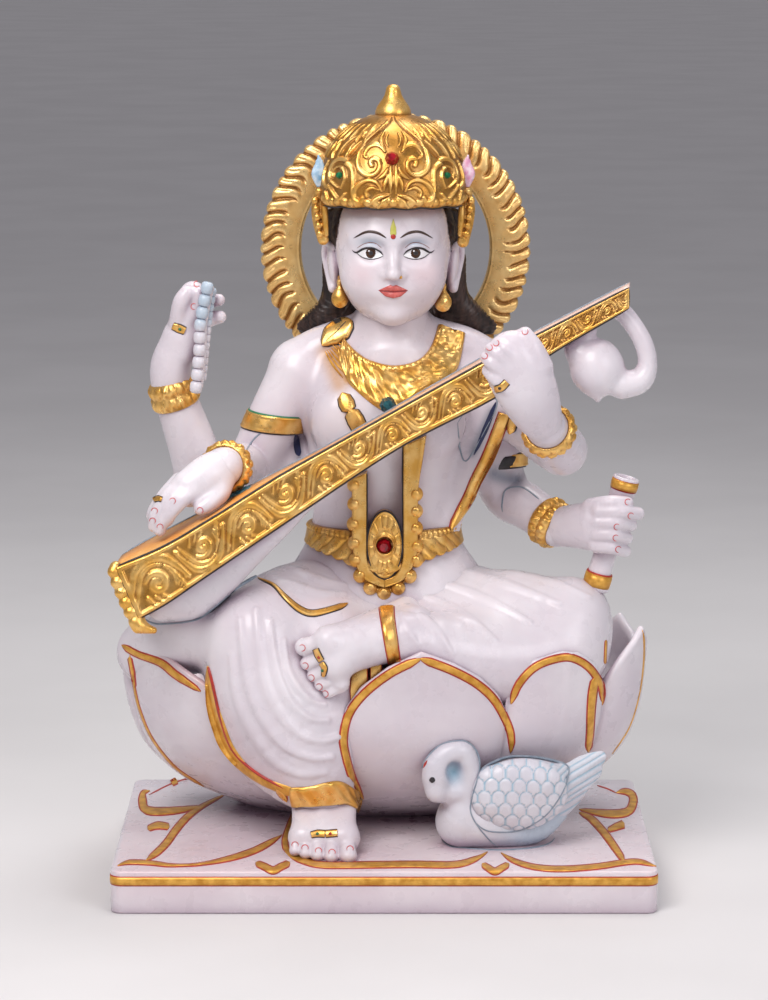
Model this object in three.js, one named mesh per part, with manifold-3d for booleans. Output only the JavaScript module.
// Seated four-armed goddess with a lute, a rosary, a scroll and a swan, on a lotus and a slab,
// carved from one block of white marble and set with five small stones.
// Millimetres, +Z up, the front faces -Y, +X is the viewer's right.
// The origin is the centre of the slab's underside.
import * as THREE from 'three';
import { mergeVertices } from 'three/addons/utils/BufferGeometryUtils.js';
import Module from 'manifold-3d';

const wasm = await Module();
wasm.setup();

// Slab
const SLAB_WIDTH = 411;
const SLAB_DEPTH = 268;
const SLAB_HEIGHT = 33;
const SLAB_CORNER = 9;
const PETAL_RELIEF = 1.6;

// Lotus
const LOTUS_WIDTH = 400;
const LOTUS_HEIGHT = 122;
const LOTUS_FRONT = -73;
const LOTUS_BACK = 126;
const PETAL_PROUD = 5;

// Figure, whose free form is given as places of the seated body above the slab
const FIGURE_BASE = SLAB_HEIGHT;
const HEAD = { x: 7, y: 18, z: 452, halfWidth: 43, halfDepth: 47, halfHeight: 57 };
const NECK_RADIUS = 26;
const WRIST_WIDTH = 26;
const PALM_LENGTH = 38;
const PALM_WIDTH = 33;
const PALM_THICKNESS = 15;
const FINGER_RADIUS = 5.2;
const FINGER_JOINTS = [17, 13, 10];
const FOOT_WIDTH = 52;
const BRACELET_WIDTH = 16;
const ARMLET_WIDTH = 13;
const HEM_WIDTH = 12;
const FOLD_DEPTH = 2.2;
const BEADS_HANGING = 8;
const BEAD_RADIUS = 7;

// Halo behind the head
const HALO_RADIUS = 104;
const HALO_INNER = 74;
const HALO_THICKNESS = 15;
const HALO_Y = 74;
const HALO_FLUTES = 46;
const HALO_FLUTE_DEPTH = 3;
const HALO_SWEEP = 284;

// Lute
const LUTE_LOW = new THREE.Vector3(-197, -62, 201);
const LUTE_HIGH = new THREE.Vector3(184, -50, 423);
const LUTE_LOW_WIDTH = 43;
const LUTE_HIGH_WIDTH = 22;
const LUTE_LOW_DEPTH = 50;
const LUTE_HIGH_DEPTH = 26;
const GOURD_RADIUS = 21;

// Set stones
const STONE_GAP = 0.3;
const CROWN_STONE_RADIUS = 5.4;
const BELT_STONE_RADIUS = 6;
const PENDANT_STONE_RADIUS = 6.5;
const SIDE_STONE_RADIUS = 3.4;
const STONE_SIDES = 8;

const marble = new THREE.MeshStandardMaterial({ color: 0xe9e4e8, roughness: 0.32, metalness: 0 });
const redStone = new THREE.MeshStandardMaterial({ color: 0xa80f1f, roughness: 0.12, metalness: 0 });
const greenStone = new THREE.MeshStandardMaterial({ color: 0x1c6b3c, roughness: 0.12, metalness: 0 });
const tealStone = new THREE.MeshStandardMaterial({ color: 0x1f5a63, roughness: 0.12, metalness: 0 });

const at = (x, y, z) => new THREE.Vector3(x, y, z);
const onFigure = (x, y, z) => new THREE.Vector3(x, y, z + FIGURE_BASE);
const degrees = (angle) => THREE.MathUtils.degToRad(angle);

// Solids: closed geometry in, joined body out

function toSolid(geometry) {
  const bare = geometry.clone();
  bare.deleteAttribute('normal');
  bare.deleteAttribute('uv');
  const merged = mergeVertices(bare, 1e-3);
  const mesh = new wasm.Mesh({
    numProp: 3,
    vertProperties: new Float32Array(merged.attributes.position.array),
    triVerts: new Uint32Array(merged.index.array),
  });
  return new wasm.Manifold(mesh);
}

function toGeometry(solid) {
  const mesh = solid.getMesh();
  const geometry = new THREE.BufferGeometry();
  geometry.setAttribute('position', new THREE.BufferAttribute(mesh.vertProperties, 3));
  geometry.setIndex(new THREE.BufferAttribute(mesh.triVerts, 1));
  geometry.computeVertexNormals();
  return geometry;
}

function joinAll(solids) {
  return solids.reduce((whole, solid) => whole.add(solid));
}

// Closed body through rings of points; every ring turns the same way round the direction of travel.
// A pole is the point that closes an end; without one the end is flat.
function loft(rings, poles = []) {
  const count = rings[0].length;
  const positions = [];
  const index = [];
  rings.flat().forEach((point) => positions.push(point.x, point.y, point.z));
  for (let r = 0; r < rings.length - 1; r += 1) {
    for (let i = 0; i < count; i += 1) {
      const a = r * count + i;
      const b = r * count + ((i + 1) % count);
      index.push(a, b, b + count, a, b + count, a + count);
    }
  }
  [0, rings.length - 1].forEach((r, end) => {
    const centre = positions.length / 3;
    const sum = rings[r].reduce((total, point) => total.add(point), at(0, 0, 0));
    const middle = poles[end] ?? sum.divideScalar(count);
    positions.push(middle.x, middle.y, middle.z);
    for (let i = 0; i < count; i += 1) {
      const a = r * count + i;
      const b = r * count + ((i + 1) % count);
      index.push(centre, end ? a : b, end ? b : a);
    }
  });
  const geometry = new THREE.BufferGeometry();
  geometry.setAttribute('position', new THREE.Float32BufferAttribute(positions, 3));
  geometry.setIndex(facesOut(positions, index));
  return toSolid(geometry);
}

// Turns every triangle round when the body that they close is inside out
function facesOut(positions, index) {
  const corner = (i) => at(...positions.slice(3 * i, 3 * i + 3));
  let volume = 0;
  for (let i = 0; i < index.length; i += 3) {
    volume += corner(index[i]).dot(corner(index[i + 1]).cross(corner(index[i + 2])));
  }
  return volume < 0 ? [...index].reverse() : index;
}

// Catmull-Rom value of a list of numbers at t from 0 to 1
function along(values, t) {
  const place = t * (values.length - 1);
  const i = Math.min(Math.floor(place), values.length - 2);
  const f = place - i;
  const p0 = values[Math.max(i - 1, 0)];
  const p1 = values[i];
  const p2 = values[i + 1];
  const p3 = values[Math.min(i + 2, values.length - 1)];
  return 0.5 * (2 * p1 + (p2 - p0) * f + (2 * p0 - 5 * p1 + 4 * p2 - p3) * f * f
    + (3 * p1 - p0 - 3 * p2 + p3) * f * f * f);
}

// Limb through points, with a half-width and half-depth at each. An end in other stone needn't be round.
// The ripple raises folds on it: a height for a place along and an angle round.
function limb(points, widths, depths, options = {}) {
  const { sides = 8, steps = points.length, round = [1, 1], ripple = () => 0 } = options;
  const { front = at(0, -1, 0) } = options;
  const curve = new THREE.CatmullRomCurve3(points, false, 'centripetal');
  const centre = (t, back) => curve.getPoint(t)
    .addScaledVector(curve.getTangent(t), back * Math.min(along(widths, t), along(depths, t)));
  const stations = Array.from({ length: steps + 1 }, (_, s) => ({ t: s / steps, back: 0, size: 1 }));
  if (round[0]) stations.unshift({ t: 0, back: -0.62, size: 0.78 });
  if (round[1]) stations.push({ t: 1, back: 0.62, size: 0.78 });
  const rings = stations.map(({ t, back, size }) => {
    const tangent = curve.getTangent(t);
    const forward = front.clone().addScaledVector(tangent, -front.dot(tangent)).normalize();
    const side = forward.clone().cross(tangent);
    const width = along(widths, t);
    const depth = along(depths, t);
    return Array.from({ length: sides }, (_, i) => {
      const angle = (i / sides) * 2 * Math.PI;
      const lift = size * ripple(t, angle);
      return centre(t, back)
        .addScaledVector(side, Math.cos(angle) * (width * size + lift))
        .addScaledVector(forward, Math.sin(angle) * (depth * size + lift));
    });
  });
  return loft(rings, [centre(0, -round[0]), centre(1, round[1])]);
}

const straight = (from, to, startRadius, endRadius, options) => limb(
  [from, from.clone().lerp(to, 0.5), to],
  [startRadius, (startRadius + endRadius) / 2, endRadius],
  [startRadius, (startRadius + endRadius) / 2, endRadius],
  { steps: 1, ...options },
);

function ball(centre, size, turn = [0, 0, 0], detail = [8, 5]) {
  const geometry = new THREE.SphereGeometry(1, ...detail);
  geometry.rotateX(Math.PI / 2);
  geometry.scale(...size);
  geometry.rotateX(degrees(turn[0]));
  geometry.rotateY(degrees(turn[1]));
  geometry.rotateZ(degrees(turn[2]));
  geometry.translate(centre.x, centre.y, centre.z);
  return toSolid(geometry);
}

// Raised band round the end of a cloth leg, its hole filled by the leg
function band(centre, axis, halfWidth, halfDepth, height, front = at(0, -1, 0)) {
  const half = axis.clone().normalize().multiplyScalar(height / 2);
  return limb(
    [centre.clone().sub(half), centre, centre.clone().add(half)],
    [halfWidth * 0.9, halfWidth, halfWidth * 0.9],
    [halfDepth * 0.9, halfDepth, halfDepth * 0.9],
    { sides: 10, steps: 2, front, round: [0, 0] },
  );
}

// Horizontal ring with its own reach to the front and to the back
function level(z, centreX, halfWidth, front, back, count = 32, power = 1) {
  const middle = (front + back) / 2;
  const halfDepth = (back - front) / 2;
  return Array.from({ length: count }, (_, i) => {
    const angle = (i / count) * 2 * Math.PI;
    const c = Math.cos(angle);
    const s = Math.sin(angle);
    return at(
      centreX + halfWidth * Math.sign(c) * Math.abs(c) ** power,
      middle + halfDepth * Math.sign(s) * Math.abs(s) ** power,
      z,
    );
  });
}

// Slab, with the low petals that are carved on its top

function slab() {
  const outline = new THREE.Shape();
  const x = SLAB_WIDTH / 2;
  const y = SLAB_DEPTH / 2;
  const corners = [[x, -y, -90], [x, y, 0], [-x, y, 90], [-x, -y, 180]];
  corners.forEach(([cornerX, cornerY, start]) => {
    const centreX = cornerX - Math.sign(cornerX) * SLAB_CORNER;
    const centreY = cornerY - Math.sign(cornerY) * SLAB_CORNER;
    outline.absarc(centreX, centreY, SLAB_CORNER, degrees(start), degrees(start + 90), false);
  });
  return toSolid(new THREE.ExtrudeGeometry(outline, {
    depth: SLAB_HEIGHT,
    bevelEnabled: false,
    curveSegments: 2,
  }));
}

function lowPetal(tip, root, halfWidth) {
  const length = Math.hypot(tip[0] - root[0], tip[1] - root[1]);
  const turn = Math.atan2(tip[1] - root[1], tip[0] - root[0]);
  const outline = new THREE.Shape();
  outline.moveTo(0, -halfWidth * 0.6);
  outline.bezierCurveTo(length * 0.5, -halfWidth * 1.25, length * 0.86, -halfWidth * 0.8, length, 0);
  outline.bezierCurveTo(length * 0.86, halfWidth * 0.8, length * 0.5, halfWidth * 1.25, 0, halfWidth * 0.6);
  outline.closePath();
  const geometry = new THREE.ExtrudeGeometry(outline, {
    depth: PETAL_RELIEF * 2,
    bevelEnabled: false,
    curveSegments: 3,
  });
  geometry.rotateZ(turn);
  geometry.translate(root[0], root[1], SLAB_HEIGHT - PETAL_RELIEF);
  return toSolid(geometry);
}

function slabPetals() {
  const front = 6 - SLAB_DEPTH / 2;
  const side = SLAB_WIDTH / 2 - 6;
  return [
    lowPetal([-side + 2, front + 2], [-118, -20], 46),
    lowPetal([8, front], [8, -40], 74),
    lowPetal([side - 2, front + 2], [128, -20], 46),
    lowPetal([-side, 62], [-120, 58], 44),
    lowPetal([side, 62], [120, 58], 44),
  ];
}

// Lotus: a bowl that overhangs its foot, and a row of petals round it

const BOWL_PROFILE = [
  // height, half-width, front and back, each as a share of its own full size
  { up: 0, wide: 0.56, front: -0.32, back: 0.94 },
  { up: 0.12, wide: 0.68, front: 0.05, back: 0.97 },
  { up: 0.26, wide: 0.81, front: 0.43, back: 0.99 },
  { up: 0.47, wide: 0.92, front: 0.79, back: 1 },
  { up: 0.73, wide: 0.98, front: 0.98, back: 1 },
  { up: 1, wide: 1, front: 1, back: 0.97 },
];

function bowlSize(up) {
  const t = THREE.MathUtils.clamp(up, 0, 1.3);
  const value = (key) => {
    const last = BOWL_PROFILE.length - 1;
    const next = Math.max(1, BOWL_PROFILE.findIndex((row) => row.up >= Math.min(t, 1)));
    const low = BOWL_PROFILE[next - 1];
    const high = BOWL_PROFILE[Math.min(next, last)];
    const share = (Math.min(t, 1) - low.up) / (high.up - low.up);
    return low[key] + (high[key] - low[key]) * share;
  };
  return {
    z: SLAB_HEIGHT - 2 + t * LOTUS_HEIGHT,
    halfWidth: (LOTUS_WIDTH / 2) * value('wide'),
    front: LOTUS_FRONT * value('front'),
    back: LOTUS_BACK * value('back'),
  };
}

// Place on the bowl; the bearing is 0 at the front and 90 at the viewer's right
function bowlPoint(bearing, up, proud) {
  const size = bowlSize(up);
  const s = Math.sin(degrees(bearing));
  const c = -Math.cos(degrees(bearing));
  const middle = (size.front + size.back) / 2;
  const halfDepth = (size.back - size.front) / 2;
  const out = at(s * halfDepth, c * size.halfWidth, 0).normalize();
  return at(s * size.halfWidth, middle + c * halfDepth, size.z).addScaledVector(out, proud);
}

// Petals in a ring: the bearing of each one's middle, half its spread, and how high its tip stands
const PETALS = [
  { bearing: 9, spread: 19, tip: 1.2, lean: 7 },
  { bearing: 43, spread: 15, tip: 1.18, lean: 3 },
  { bearing: 76, spread: 18, tip: 1.25, lean: 3 },
  { bearing: 113, spread: 19, tip: 1.22, lean: 4 },
  { bearing: 152, spread: 20, tip: 1.12, lean: 3 },
  { bearing: 192, spread: 20, tip: 1.12, lean: 3 },
  { bearing: 232, spread: 20, tip: 1.12, lean: 3 },
  { bearing: 270, spread: 18, tip: 1.12, lean: 4 },
  { bearing: 319, spread: 31, tip: 1.12, lean: 2 },
];
const PETAL_VALLEY = 0.95;
const PETAL_STEPS = 6;
const PETAL_THICKNESS = 7;

function lotus() {
  const stations = PETALS.flatMap(({ bearing, spread, tip, lean }) => Array.from(
    { length: PETAL_STEPS },
    (_, i) => {
      const u = (2 * i) / PETAL_STEPS - 1;
      const arch = (1 - Math.abs(u) ** 1.6) ** 0.8;
      return { bearing: bearing + u * spread, u, top: PETAL_VALLEY + (tip - PETAL_VALLEY) * arch, lean };
    },
  ));
  const ring = (v, inset, up) => stations.map(({ bearing, u, top, lean }) => {
    const proud = PETAL_PROUD * (1 - u ** 4) * Math.min(1, v * 2) + lean * (1 - u * u) * v ** 4;
    return bowlPoint(bearing, up ?? v * top, proud - inset);
  });
  return loft([
    ...[0, 0.2, 0.5, 1].map((v) => ring(v, 0)),
    ring(1, PETAL_THICKNESS),
    ring(0.8, PETAL_THICKNESS * 1.6, PETAL_VALLEY),
  ]);
}

// Seated body

function torso() {
  const rows = [
    // height above the slab, centre, half-width, front, back
    [172, 2, 92, -34, 88],
    [200, 1, 74, -26, 76],
    [226, 0, 58, -18, 66],
    [256, 0, 54, -15, 62],
    [288, 1, 59, -17, 62],
    [318, 3, 66, -22, 66],
    [345, 4, 71, -14, 68],
    [362, 5, 66, -6, 64],
    [376, 6, 45, -1, 58],
    [388, 7, NECK_RADIUS + 3, -4, 50],
    [420, 7, NECK_RADIUS, -6, 46],
  ];
  const rings = rows.map(([z, ...size]) => level(z + FIGURE_BASE, ...size, 12, 0.9));
  return [
    loft(rings),
    ball(onFigure(-28, -8, 322), [26, 15, 25], [0, 0, 0], [8, 5]),
    ball(onFigure(34, -8, 322), [26, 15, 25], [0, 0, 0], [8, 5]),
  ];
}

function head() {
  const { x, y, z, halfWidth, halfDepth, halfHeight } = HEAD;
  const jaw = [
    // height, half-width and half-depth, each as a share of the head's own
    [-1, 0.2, 0.4],
    [-0.88, 0.5, 0.72],
    [-0.5, 0.83, 0.94],
    [-0.1, 0.96, 1],
    [0.3, 1, 1.02],
    [0.7, 0.9, 0.95],
    [1, 0.5, 0.5],
  ];
  const rings = jaw.map(([up, wide, deep]) => level(
    z + FIGURE_BASE + up * halfHeight,
    x,
    halfWidth * wide,
    y - halfDepth * deep,
    y + halfDepth * Math.max(deep, 0.5),
    12,
  ));
  const nose = limb(
    [[3, 6], [-1, -6], [-4, -16]].map(([forth, up]) => onFigure(x, y - halfDepth + forth, z + up)),
    [4, 4.5, 7],
    [3, 4, 5],
    { sides: 6, steps: 2, round: [0, 1] },
  );
  const ears = [-1, 1].map((hand) => ball(
    onFigure(x + hand * (halfWidth + 3), y + 6, z - 6),
    [5, 10, 21],
    [0, hand * 8, 0],
    [6, 4],
  ));
  const drops = [-1, 1].map((hand) => ball(
    onFigure(x + hand * (halfWidth - 6), y - 2, z - 36),
    [7, 6, 13],
    [0, 0, 0],
    [6, 4],
  ));
  const hair = [
    ball(onFigure(x, y + 14, z + 6), [halfWidth + 10, halfDepth - 3, halfHeight - 2], [0, 0, 0], [10, 5]),
    limb(
      [onFigure(x, 56, z - 10), onFigure(x, 60, z - 50), onFigure(x, 58, z - 110)],
      [46, 62, 48],
      [22, 22, 14],
      { steps: 2, round: [0, 1] },
    ),
    ...[-1, 1].map((hand) => limb(
      [[44, 34, -14], [54, 42, -44], [70, 54, -64]].map(([out, back, up]) => (
        onFigure(x + hand * out, back, z + up)
      )),
      [12, 16, 14],
      [14, 15, 12],
      { sides: 7, steps: 2, round: [0, 1] },
    )),
  ];
  return [loft(rings), nose, ...ears, ...drops, ...hair];
}

function crown() {
  const { x, y, z } = HEAD;
  const dome = [
    [28, 57, 0.94], [42, 58.5, 0.95], [66, 53.5, 0.94], [84, 44, 0.92], [98, 30, 0.9],
  ].map(([up, half, deep]) => level(
    z + FIGURE_BASE + up,
    x,
    half,
    y + 2 - half * deep,
    y + 2 + half * deep,
    14,
  ));
  const domePoint = (bearing, up, proud) => {
    const lean = Math.sqrt(Math.max(0.2, 1 - ((up - 40) / 76) ** 2));
    const out = at(Math.sin(degrees(bearing)), -Math.cos(degrees(bearing)) * 0.95, 0);
    return onFigure(x, y + 2, z + up).addScaledVector(out, 58 * (up > 40 ? lean : 1) + proud);
  };
  const archRings = Array.from({ length: 6 }, (_, row) => {
    const v = row / 5;
    const reach = 62 * (1 - v ** 1.7) + 3;
    const across = [1, 0.5, 0, -0.5, -1];
    return [
      ...across.map((u) => domePoint(u * reach, 30 + 70 * v, 5)),
      ...across.map((u) => domePoint(-u * reach, 30 + 70 * v, -6)),
    ];
  });
  const finial = new THREE.LatheGeometry([
    new THREE.Vector2(0, -4),
    new THREE.Vector2(14.5, -4),
    new THREE.Vector2(13.5, 4),
    new THREE.Vector2(8.5, 14),
    new THREE.Vector2(4.6, 23),
    new THREE.Vector2(0, 27.8),
  ], 8);
  finial.rotateX(Math.PI / 2);
  finial.translate(x, y + 6, z + FIGURE_BASE + 97);
  const sides = [-1, 1].flatMap((hand) => [
    limb(
      [[55, -8, 44], [55, -10, 22], [50, -10, 2]].map(([out, back, up]) => (
        onFigure(x + hand * out, y + back, z + up)
      )),
      [7, 6.5, 5],
      [7, 7, 5],
      { sides: 6, steps: 2, round: [0, 1] },
    ),
    limb(
      [[58, 46], [60, 60], [58, 70]].map(([out, up]) => onFigure(x + hand * out, y - 6, z + up)),
      [6, 7, 3],
      [5, 5, 3],
      { sides: 6, steps: 1, round: [0, 1] },
    ),
  ]);
  return [loft(dome), loft(archRings), toSolid(finial), ...sides];
}

function halo() {
  const { x, z } = HEAD;
  const start = 90 - HALO_SWEEP / 2;
  const innerSteps = 16;
  const outline = new THREE.Shape();
  for (let i = 0; i <= HALO_FLUTES * 2; i += 1) {
    const angle = degrees(start + (HALO_SWEEP * i) / (HALO_FLUTES * 2));
    const radius = HALO_RADIUS + (i % 2 ? HALO_FLUTE_DEPTH : 0);
    outline[i ? 'lineTo' : 'moveTo'](radius * Math.cos(angle), radius * Math.sin(angle));
  }
  for (let i = innerSteps; i >= 0; i -= 1) {
    const angle = degrees(start + (HALO_SWEEP * i) / innerSteps);
    outline.lineTo(HALO_INNER * Math.cos(angle), HALO_INNER * Math.sin(angle));
  }
  const ring = new THREE.ExtrudeGeometry(outline, { depth: HALO_THICKNESS, bevelEnabled: false });
  ring.rotateX(Math.PI / 2);
  ring.translate(x + 2, HALO_Y + HALO_THICKNESS / 2, z + FIGURE_BASE - 6);
  const bridge = ball(onFigure(x, HALO_Y - 6, z + 72), [44, 22, 26], [0, 0, 0], [8, 5]);
  return [toSolid(ring), bridge];
}

// Ring over a row of fingers or toes; bump 0 is a plain oval, bump 1 parts them by grooves
function digitRing({ centre, across, up, halfWidth, halfDepth, bump }, digits) {
  const steps = digits * 2;
  const edge = (side) => Array.from({ length: steps }, (_, i) => {
    const u = side * (1 - (2 * i) / steps);
    const oval = Math.sqrt(1 - u * u);
    const groove = i % 2 ? 1 : 0.62;
    const height = i === 0 ? 0 : oval * (1 - bump) + groove * bump;
    return centre.clone()
      .addScaledVector(across, u * halfWidth)
      .addScaledVector(up, side * height * halfDepth);
  });
  return [...edge(1), ...edge(-1)];
}

// Hand in one body: wrist, palm and four fingers that curl together, with a thumb beside them.
// toward points from wrist to knuckles, back out of the back of the hand, and
// thumbSide is 1 when the thumb lies toward (toward x back), otherwise -1.
function hand({ wrist, toward, back, thumbSide, curl, thumb, grip = 1 }) {
  const reach = toward.clone().normalize();
  const out = back.clone().addScaledVector(reach, -back.dot(reach)).normalize();
  const side = reach.clone().cross(out).multiplyScalar(thumbSide);
  const place = (forth, across, up) => wrist.clone()
    .addScaledVector(reach, forth)
    .addScaledVector(side, across)
    .addScaledVector(out, up);
  const ring = (centre, up, halfWidth, halfDepth, bump) => digitRing(
    { centre, across: side, up, halfWidth, halfDepth, bump },
    4,
  );
  const rings = [
    ring(place(-6, 0, 0), out, WRIST_WIDTH / 2, WRIST_WIDTH * 0.4, 0),
    ring(place(PALM_LENGTH, 0, 0), out, PALM_WIDTH * 0.53, PALM_THICKNESS * 0.5, 0.35),
  ];
  let angle = 0;
  let centre = place(PALM_LENGTH, 0, 0);
  FINGER_JOINTS.forEach((length, joint) => {
    angle += curl[joint];
    const step = at(0, 0, 0)
      .addScaledVector(reach, Math.cos(degrees(angle)) * length * grip)
      .addScaledVector(out, -Math.sin(degrees(angle)) * length * grip);
    const up = out.clone().multiplyScalar(Math.cos(degrees(angle)))
      .addScaledVector(reach, Math.sin(degrees(angle)));
    centre = centre.clone().add(step);
    const halfWidth = PALM_WIDTH * (0.52 - 0.03 * joint);
    rings.push(ring(centre, up, halfWidth, FINGER_RADIUS * (1.05 - 0.1 * joint), 1));
  });
  const thumbPoints = [place(8, PALM_WIDTH * 0.3, -2), ...thumb.map((step) => place(...step))];
  const thumbRadii = [8, 6.4, 5];
  return [
    loft(rings),
    limb(thumbPoints, thumbRadii, thumbRadii, { sides: 5, steps: 2, front: out, round: [0, 1] }),
  ];
}

// Arm in one body, from the shoulder past a raised bracelet, with a raised armlet if it wears one
function arm({ shoulder, elbow, wrist, beyond, forearm = 19, braceletRadius = 19, armletAt }) {
  const rise = 0.4;
  const upper = elbow.clone().sub(shoulder);
  const lower = wrist.clone().sub(elbow);
  const onUpper = (share) => shoulder.clone().addScaledVector(upper, share);
  const onLower = (forth) => wrist.clone().addScaledVector(lower, forth / lower.length());
  const armletHalf = ARMLET_WIDTH / 2 / upper.length();
  const edge = rise / upper.length();
  const places = [
    [shoulder, 23],
    ...(armletAt ? [
      [onUpper(armletAt - armletHalf), 21.5],
      [onUpper(armletAt - armletHalf + edge), 24.5],
      [onUpper(armletAt + armletHalf - edge), 24.5],
      [onUpper(armletAt + armletHalf), 20.5],
    ] : [[onUpper(0.55), 22]]),
    [elbow, 19.5],
    [elbow.clone().addScaledVector(lower, 0.4), forearm],
    [onLower(-BRACELET_WIDTH / 2), forearm * 0.76],
    [onLower(rise - BRACELET_WIDTH / 2), braceletRadius],
    [onLower(BRACELET_WIDTH / 2), braceletRadius * 0.96],
    ...(beyond ? [[onLower(BRACELET_WIDTH / 2 + rise), 15], [beyond, 13]] : []),
  ];
  const radii = places.map(([, radius]) => radius);
  return limb(places.map(([point]) => point), radii, radii, {
    steps: places.length - 1,
    front: upper.clone().cross(lower).normalize(),
    round: [1, 0],
  });
}

function arms() {
  // viewer's left, front: the hand that plucks the strings
  const pluckShoulder = onFigure(-62, 34, 350);
  const pluckElbow = onFigure(-98, 22, 281);
  const pluckWrist = onFigure(-130, -46, 294);
  // viewer's left, behind: the raised hand with the rosary
  const beadShoulder = onFigure(-66, 52, 292);
  const beadElbow = onFigure(-140, 50, 260);
  const beadBracelet = onFigure(-163, 40, 337);
  const beadWrist = onFigure(-163, 34, 366);
  // viewer's right, front: the hand on the lute's neck
  const neckShoulder = onFigure(72, 34, 350);
  const neckElbow = onFigure(132, 8, 286);
  const neckWrist = onFigure(122, -36, 326);
  // viewer's right, behind: the hand with the scroll
  const scrollShoulder = onFigure(66, 56, 338);
  const scrollElbow = onFigure(96, 50, 256);
  const scrollWrist = onFigure(136, 16, 236);
  return [
    arm({ shoulder: pluckShoulder, elbow: pluckElbow, wrist: pluckWrist, braceletRadius: 18, armletAt: 0.6 }),
    arm({ shoulder: beadShoulder, elbow: beadElbow, wrist: beadBracelet, beyond: beadWrist, forearm: 21 }),
    arm({ shoulder: neckShoulder, elbow: neckElbow, wrist: neckWrist, braceletRadius: 20 }),
    arm({
      shoulder: scrollShoulder,
      elbow: scrollElbow,
      wrist: scrollWrist,
      braceletRadius: 18,
      armletAt: 0.62,
    }),
    ...hand({
      wrist: pluckWrist,
      toward: at(-0.66, -0.5, -0.5),
      back: at(-0.3, -0.4, 0.87),
      thumbSide: -1,
      curl: [30, 30, 25],
      thumb: [[22, 21, -8], [36, 20, -14]],
    }),
    ...hand({
      wrist: beadWrist,
      toward: at(0.28, -0.1, 0.95),
      back: at(-0.95, -0.05, 0.3),
      thumbSide: -1,
      curl: [62, 50, 45],
      thumb: [[26, 16, -12], [42, 10, -20]],
    }),
    ...hand({
      wrist: neckWrist,
      toward: at(-0.4, -0.3, 0.86),
      back: at(0.35, -0.9, -0.1),
      thumbSide: -1,
      curl: [12, 48, 55],
      thumb: [[28, 21, 2], [52, 17, 0]],
      grip: 0.85,
    }),
    ...hand({
      wrist: scrollWrist,
      toward: at(0.97, -0.25, 0.1),
      back: at(-0.1, -0.8, 0.6),
      thumbSide: -1,
      curl: [42, 80, 55],
      thumb: [[20, 18, -6], [38, 18, -12]],
      grip: 0.85,
    }),
    // stone left between the arms and the body
    ball(onFigure(-82, 34, 274), [26, 16, 24], [0, 0, 0], [8, 5]),
    ball(onFigure(82, 40, 290), [26, 16, 32], [0, 0, 0], [8, 5]),
  ];
}

function rosary() {
  const radius = (t) => BEAD_RADIUS * (0.74 + 0.26 * Math.abs(Math.sin(t * BEADS_HANGING * Math.PI)));
  const steps = BEADS_HANGING * 2;
  const radii = Array.from({ length: steps + 1 }, (_, i) => radius(i / steps));
  const strand = [onFigure(-137, 20, 402), onFigure(-139, 18, 366), onFigure(-144, 20, 330)];
  return [limb(strand, radii, radii, { sides: 5, steps })];
}

function scroll() {
  return [straight(onFigure(183, -8, 266), onFigure(164, -6, 190), 12, 11)];
}

// Legs under the draped cloth, whose folds run round the limbs

function legs() {
  const up = at(0, 0, 1);
  const hips = ball(onFigure(2, 32, 152), [120, 76, 52], [0, 0, 0], [10, 5]);
  const foldedThigh = limb(
    [onFigure(34, 26, 162), onFigure(88, 6, 157), onFigure(134, -8, 150)],
    [44, 44, 40],
    [50, 45, 41],
    { sides: 10, steps: 3, front: up, round: [0, 1] },
  );
  const foldedShin = limb(
    [onFigure(134, -18, 142), onFigure(72, -38, 146), onFigure(12, -60, 164)],
    [36, 34, 24],
    [34, 30, 22],
    { sides: 10, steps: 3, front: up, round: [1, 0] },
  );
  const hangingThigh = limb(
    [onFigure(-34, 22, 168), onFigure(-72, -14, 168), onFigure(-96, -44, 160)],
    [42, 42, 40],
    [46, 44, 40],
    { sides: 10, steps: 3, front: up, round: [0, 1] },
  );
  const fade = (t) => Math.sin(Math.PI * Math.min(t, 0.98));
  const folds = (t, angle) => FOLD_DEPTH * Math.sin(t * 25 - 1.6 * Math.sin(angle)) * fade(t);
  const hangingShin = limb(
    [onFigure(-92, -50, 160), onFigure(-84, -58, 120), onFigure(-62, -62, 80), onFigure(-46, -60, 42)],
    [44, 50, 40, 27],
    [40, 38, 32, 23],
    { sides: 10, steps: 8, ripple: folds, round: [0, 0] },
  );
  const hem = band(onFigure(-45, -62, 44), at(0.05, 0, -1), 33, 30, HEM_WIDTH);
  const cuff = band(onFigure(8, -62, 166), at(-1, -0.1, 0.1), 27, 30, HEM_WIDTH, up);
  const lap = ball(onFigure(74, -20, 140), [88, 50, 44], [0, 8, 4], [8, 5]);
  return [hips, foldedThigh, foldedShin, hangingThigh, hangingShin, hem, cuff, lap];
}

// Foot in one body, from the ankle to a row of five toes
function foot({ heel, instep, knuckles, tips, up, across }) {
  const ring = (centre, halfWidth, halfDepth, bump) => digitRing(
    { centre, across, up, halfWidth, halfDepth, bump },
    5,
  );
  return loft([
    ring(heel, 16, 17, 0),
    ring(instep, 19, 14, 0),
    ring(knuckles, FOOT_WIDTH / 2, 8.5, 0.5),
    ring(tips, FOOT_WIDTH * 0.46, 5.2, 1),
  ]);
}

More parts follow.
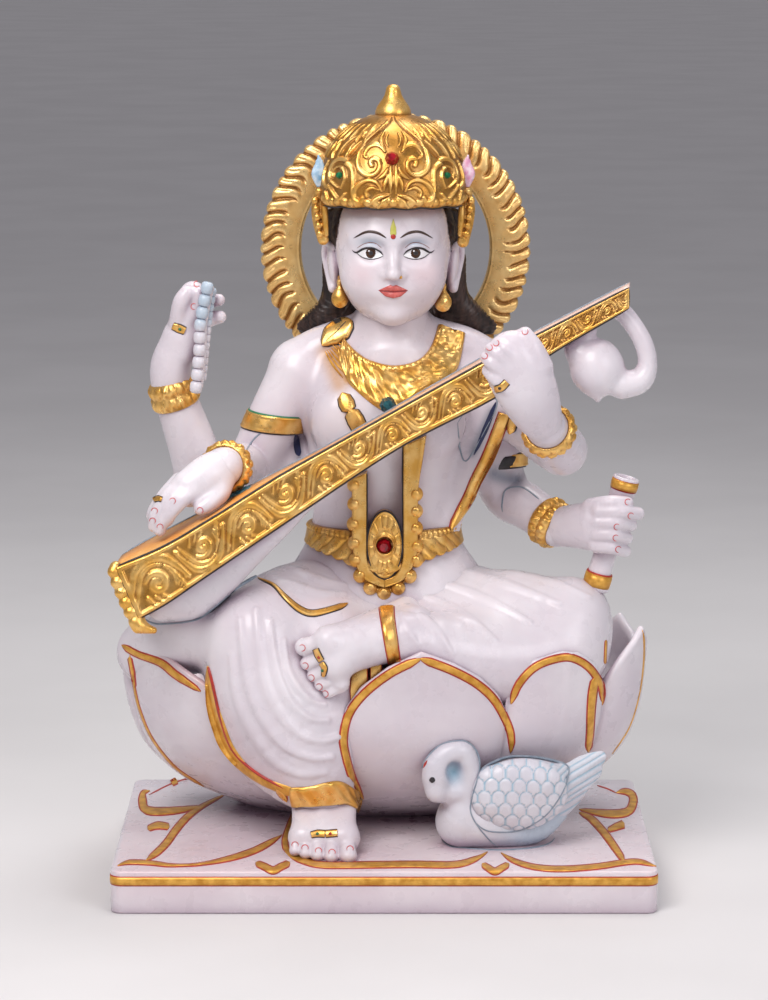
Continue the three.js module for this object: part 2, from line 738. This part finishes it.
function feet() {
  const rising = at(0, -0.3, 1).normalize();
  const facing = at(0.1, -0.95, 0.3).normalize();
  const down = at(-0.62, 0, -0.42).normalize();
  return [
    foot({
      heel: onFigure(-46, -52, 24),
      instep: onFigure(-46, -68, 18),
      knuckles: onFigure(-46, -87, 9),
      tips: onFigure(-46, -103, 6),
      up: rising,
      across: at(1, 0, 0),
    }),
    straight(onFigure(-46, -58, 50), onFigure(-46, -56, 22), 20, 18, { round: [0, 0] }),
    foot({
      heel: onFigure(2, -72, 166),
      instep: onFigure(-22, -82, 158),
      knuckles: onFigure(-42, -86, 148),
      tips: onFigure(-56, -86, 138),
      up: facing,
      across: facing.clone().cross(down).normalize(),
    }),
  ];
}

// Collar, belt and its hanging bands, carved proud of the body

function jewellery() {
  const collar = Array.from({ length: 13 }, (_, i) => {
    const angle = degrees(200 + (140 * i) / 12);
    const drop = -Math.sin(angle);
    return onFigure(6 + 50 * Math.cos(angle), 2 - 22 * drop, 382 - 34 * drop ** 1.6);
  });
  const chain = limb(
    collar,
    [9, 13, 17, 13, 9],
    [5, 5, 6, 5, 5],
    { sides: 5, steps: 8, front: at(0, -1, 0.4), round: [0, 0] },
  );
  const pendant = ball(onFigure(3, -24, 335), [14, 7, 16], [0, 0, 0], [8, 4]);
  const belt = loft([[211, 71, -26, 75], [237, 61, -21, 69]].map(([z, half, front, back]) => level(
    z + FIGURE_BASE,
    0,
    half,
    front,
    back,
    12,
    0.9,
  )));
  const frame = new THREE.Shape();
  frame.moveTo(-26, 60);
  frame.lineTo(-28, 0);
  frame.quadraticCurveTo(-26, -36, 0, -40);
  frame.quadraticCurveTo(26, -36, 28, 0);
  frame.lineTo(34, 90);
  frame.lineTo(18, 92);
  frame.lineTo(13, 60);
  frame.lineTo(-13, 60);
  frame.closePath();
  const plate = new THREE.ExtrudeGeometry(frame, { depth: 20, bevelEnabled: false, curveSegments: 4 });
  plate.rotateX(Math.PI / 2);
  plate.translate(0, -8, FIGURE_BASE + 222);
  return [chain, pendant, belt, toSolid(plate)];
}

// Lute: a flat-sided body that narrows into the neck, a round belly under its low end,
// and a scroll that carries the upper gourd

function lute() {
  const low = LUTE_LOW.clone().setZ(LUTE_LOW.z + FIGURE_BASE);
  const high = LUTE_HIGH.clone().setZ(LUTE_HIGH.z + FIGURE_BASE);
  const reach = high.clone().sub(low).normalize();
  const out = at(0, -1, 0.12).addScaledVector(reach, -at(0, -1, 0.12).dot(reach)).normalize();
  const up = reach.clone().cross(out).negate();
  const corners = [[1, 1], [-1, 1], [-1, -1], [1, -1]];
  const ring = (t) => {
    const centre = low.clone().lerp(high, t);
    const width = THREE.MathUtils.lerp(LUTE_LOW_WIDTH, LUTE_HIGH_WIDTH, t ** 0.7) / 2;
    const depth = THREE.MathUtils.lerp(LUTE_LOW_DEPTH, LUTE_HIGH_DEPTH, t ** 0.5) / 2;
    return corners.map(([o, u]) => centre.clone()
      .addScaledVector(out, o * depth)
      .addScaledVector(up, u * width));
  };
  const rings = [0, 0.15, 0.3, 0.5, 0.75, 1].map(ring);
  const solids = [loft(rings)];
  solids.push(limb(
    [
      low.clone().add(at(16, 10, -10)),
      low.clone().add(at(50, 12, -6)),
      low.clone().add(at(92, 16, 22)),
    ],
    [26, 27, 16],
    [24, 26, 18],
    { sides: 8, steps: 2 },
  ));
  const end = high.clone().add(at(0, 2, -10));
  solids.push(limb(
    [[0, 0], [14, -30], [16, -52], [2, -64], [-18, -54]].map(([x, z]) => end.clone().add(at(x, 0, z))),
    [7, 8, 11, 14, 16],
    [9, 10, 13, 15, 15],
    { sides: 7, steps: 6, round: [0, 0] },
  ));
  const gourd = new THREE.LatheGeometry([
    new THREE.Vector2(0, -GOURD_RADIUS - 8),
    new THREE.Vector2(3, -GOURD_RADIUS - 2),
    new THREE.Vector2(GOURD_RADIUS * 0.72, -GOURD_RADIUS * 0.7),
    new THREE.Vector2(GOURD_RADIUS, 0),
    new THREE.Vector2(GOURD_RADIUS * 0.8, GOURD_RADIUS * 0.75),
    new THREE.Vector2(GOURD_RADIUS * 0.45, GOURD_RADIUS * 1.15),
    new THREE.Vector2(GOURD_RADIUS * 0.5, GOURD_RADIUS * 1.8),
    new THREE.Vector2(0, GOURD_RADIUS * 1.85),
  ], 8);
  gourd.rotateX(Math.PI / 2);
  gourd.rotateY(degrees(-18));
  gourd.translate(158, -48, 372 + FIGURE_BASE);
  solids.push(toSolid(gourd));
  return solids;
}

// Swan that rests by the lotus, its neck curled down

function swan() {
  const up = at(0, 0, 1);
  const body = limb(
    [onFigure(52, -60, 20), onFigure(82, -60, 26), onFigure(118, -58, 34)],
    [22, 24, 16],
    [20, 28, 20],
    { steps: 2, front: up },
  );
  const tail = limb(
    [onFigure(112, -58, 34), onFigure(140, -52, 50), onFigure(164, -46, 68)],
    [14, 10, 5],
    [16, 14, 7],
    { sides: 6, steps: 1, front: up, round: [0, 1] },
  );
  const wing = ball(onFigure(90, -72, 40), [40, 13, 28], [0, -8, 0], [8, 4]);
  const neck = limb(
    [onFigure(56, -64, 34), onFigure(68, -64, 62), onFigure(56, -68, 80), onFigure(40, -72, 68)],
    [17, 14, 15, 16],
    [16, 13, 14, 15],
    { sides: 7, steps: 4, round: [0, 1] },
  );
  const beak = limb(
    [onFigure(38, -74, 62), onFigure(36, -78, 48), onFigure(37, -78, 38)],
    [11, 7, 3],
    [10, 7, 4],
    { sides: 6, steps: 1, round: [0, 1] },
  );
  return [body, tail, wing, neck, beak];
}

// Set stones, each with a socket a little larger than itself

function stone(radius, height, centre, out) {
  const turn = new THREE.Quaternion().setFromUnitVectors(at(0, 1, 0), out.clone().normalize());
  const placed = (topRadius, baseRadius, length, lift) => {
    const geometry = new THREE.CylinderGeometry(topRadius, baseRadius, length, STONE_SIDES);
    geometry.translate(0, length / 2 + lift, 0);
    geometry.applyQuaternion(turn);
    geometry.translate(centre.x, centre.y, centre.z);
    return toSolid(geometry);
  };
  return {
    body: placed(radius * 0.55, radius, height, 0),
    socket: placed(radius + STONE_GAP, radius + STONE_GAP, height * 3, -STONE_GAP),
  };
}

const sideStone = (hand) => stone(
  SIDE_STONE_RADIUS,
  4,
  onFigure(HEAD.x + hand * 39.5, -21.2, 511),
  at(hand * 0.62, -0.76, 0.2),
);

const crownStone = stone(CROWN_STONE_RADIUS, 5, onFigure(6, -33, 525), at(0, -1, 0.35));
const beltStone = stone(BELT_STONE_RADIUS, 5, onFigure(0, -26, 227), at(0, -1, 0));
const pendantStone = stone(PENDANT_STONE_RADIUS, 5, onFigure(3, -28, 337), at(0, -1, 0.2));

const stones = {
  crown_stone: { ...crownStone, material: redStone },
  crown_side_stone_left: { ...sideStone(-1), material: greenStone },
  crown_side_stone_right: { ...sideStone(1), material: greenStone },
  belt_stone: { ...beltStone, material: redStone },
  pendant_stone: { ...pendantStone, material: tealStone },
};

const figure = joinAll([
  slab(),
  ...slabPetals(),
  lotus(),
  ...legs(),
  ...feet(),
  ...torso(),
  ...head(),
  ...crown(),
  ...halo(),
  ...arms(),
  ...rosary(),
  ...scroll(),
  ...jewellery(),
  ...lute(),
  ...swan(),
]);

const group = new THREE.Group();
const carved = Object.values(stones).reduce((whole, { socket }) => whole.subtract(socket), figure);
const figureMesh = new THREE.Mesh(toGeometry(carved), marble);
figureMesh.name = 'figure';
group.add(figureMesh);
Object.entries(stones).forEach(([name, { body, material }]) => {
  const mesh = new THREE.Mesh(toGeometry(body), material);
  mesh.name = name;
  group.add(mesh);
});

export default group;
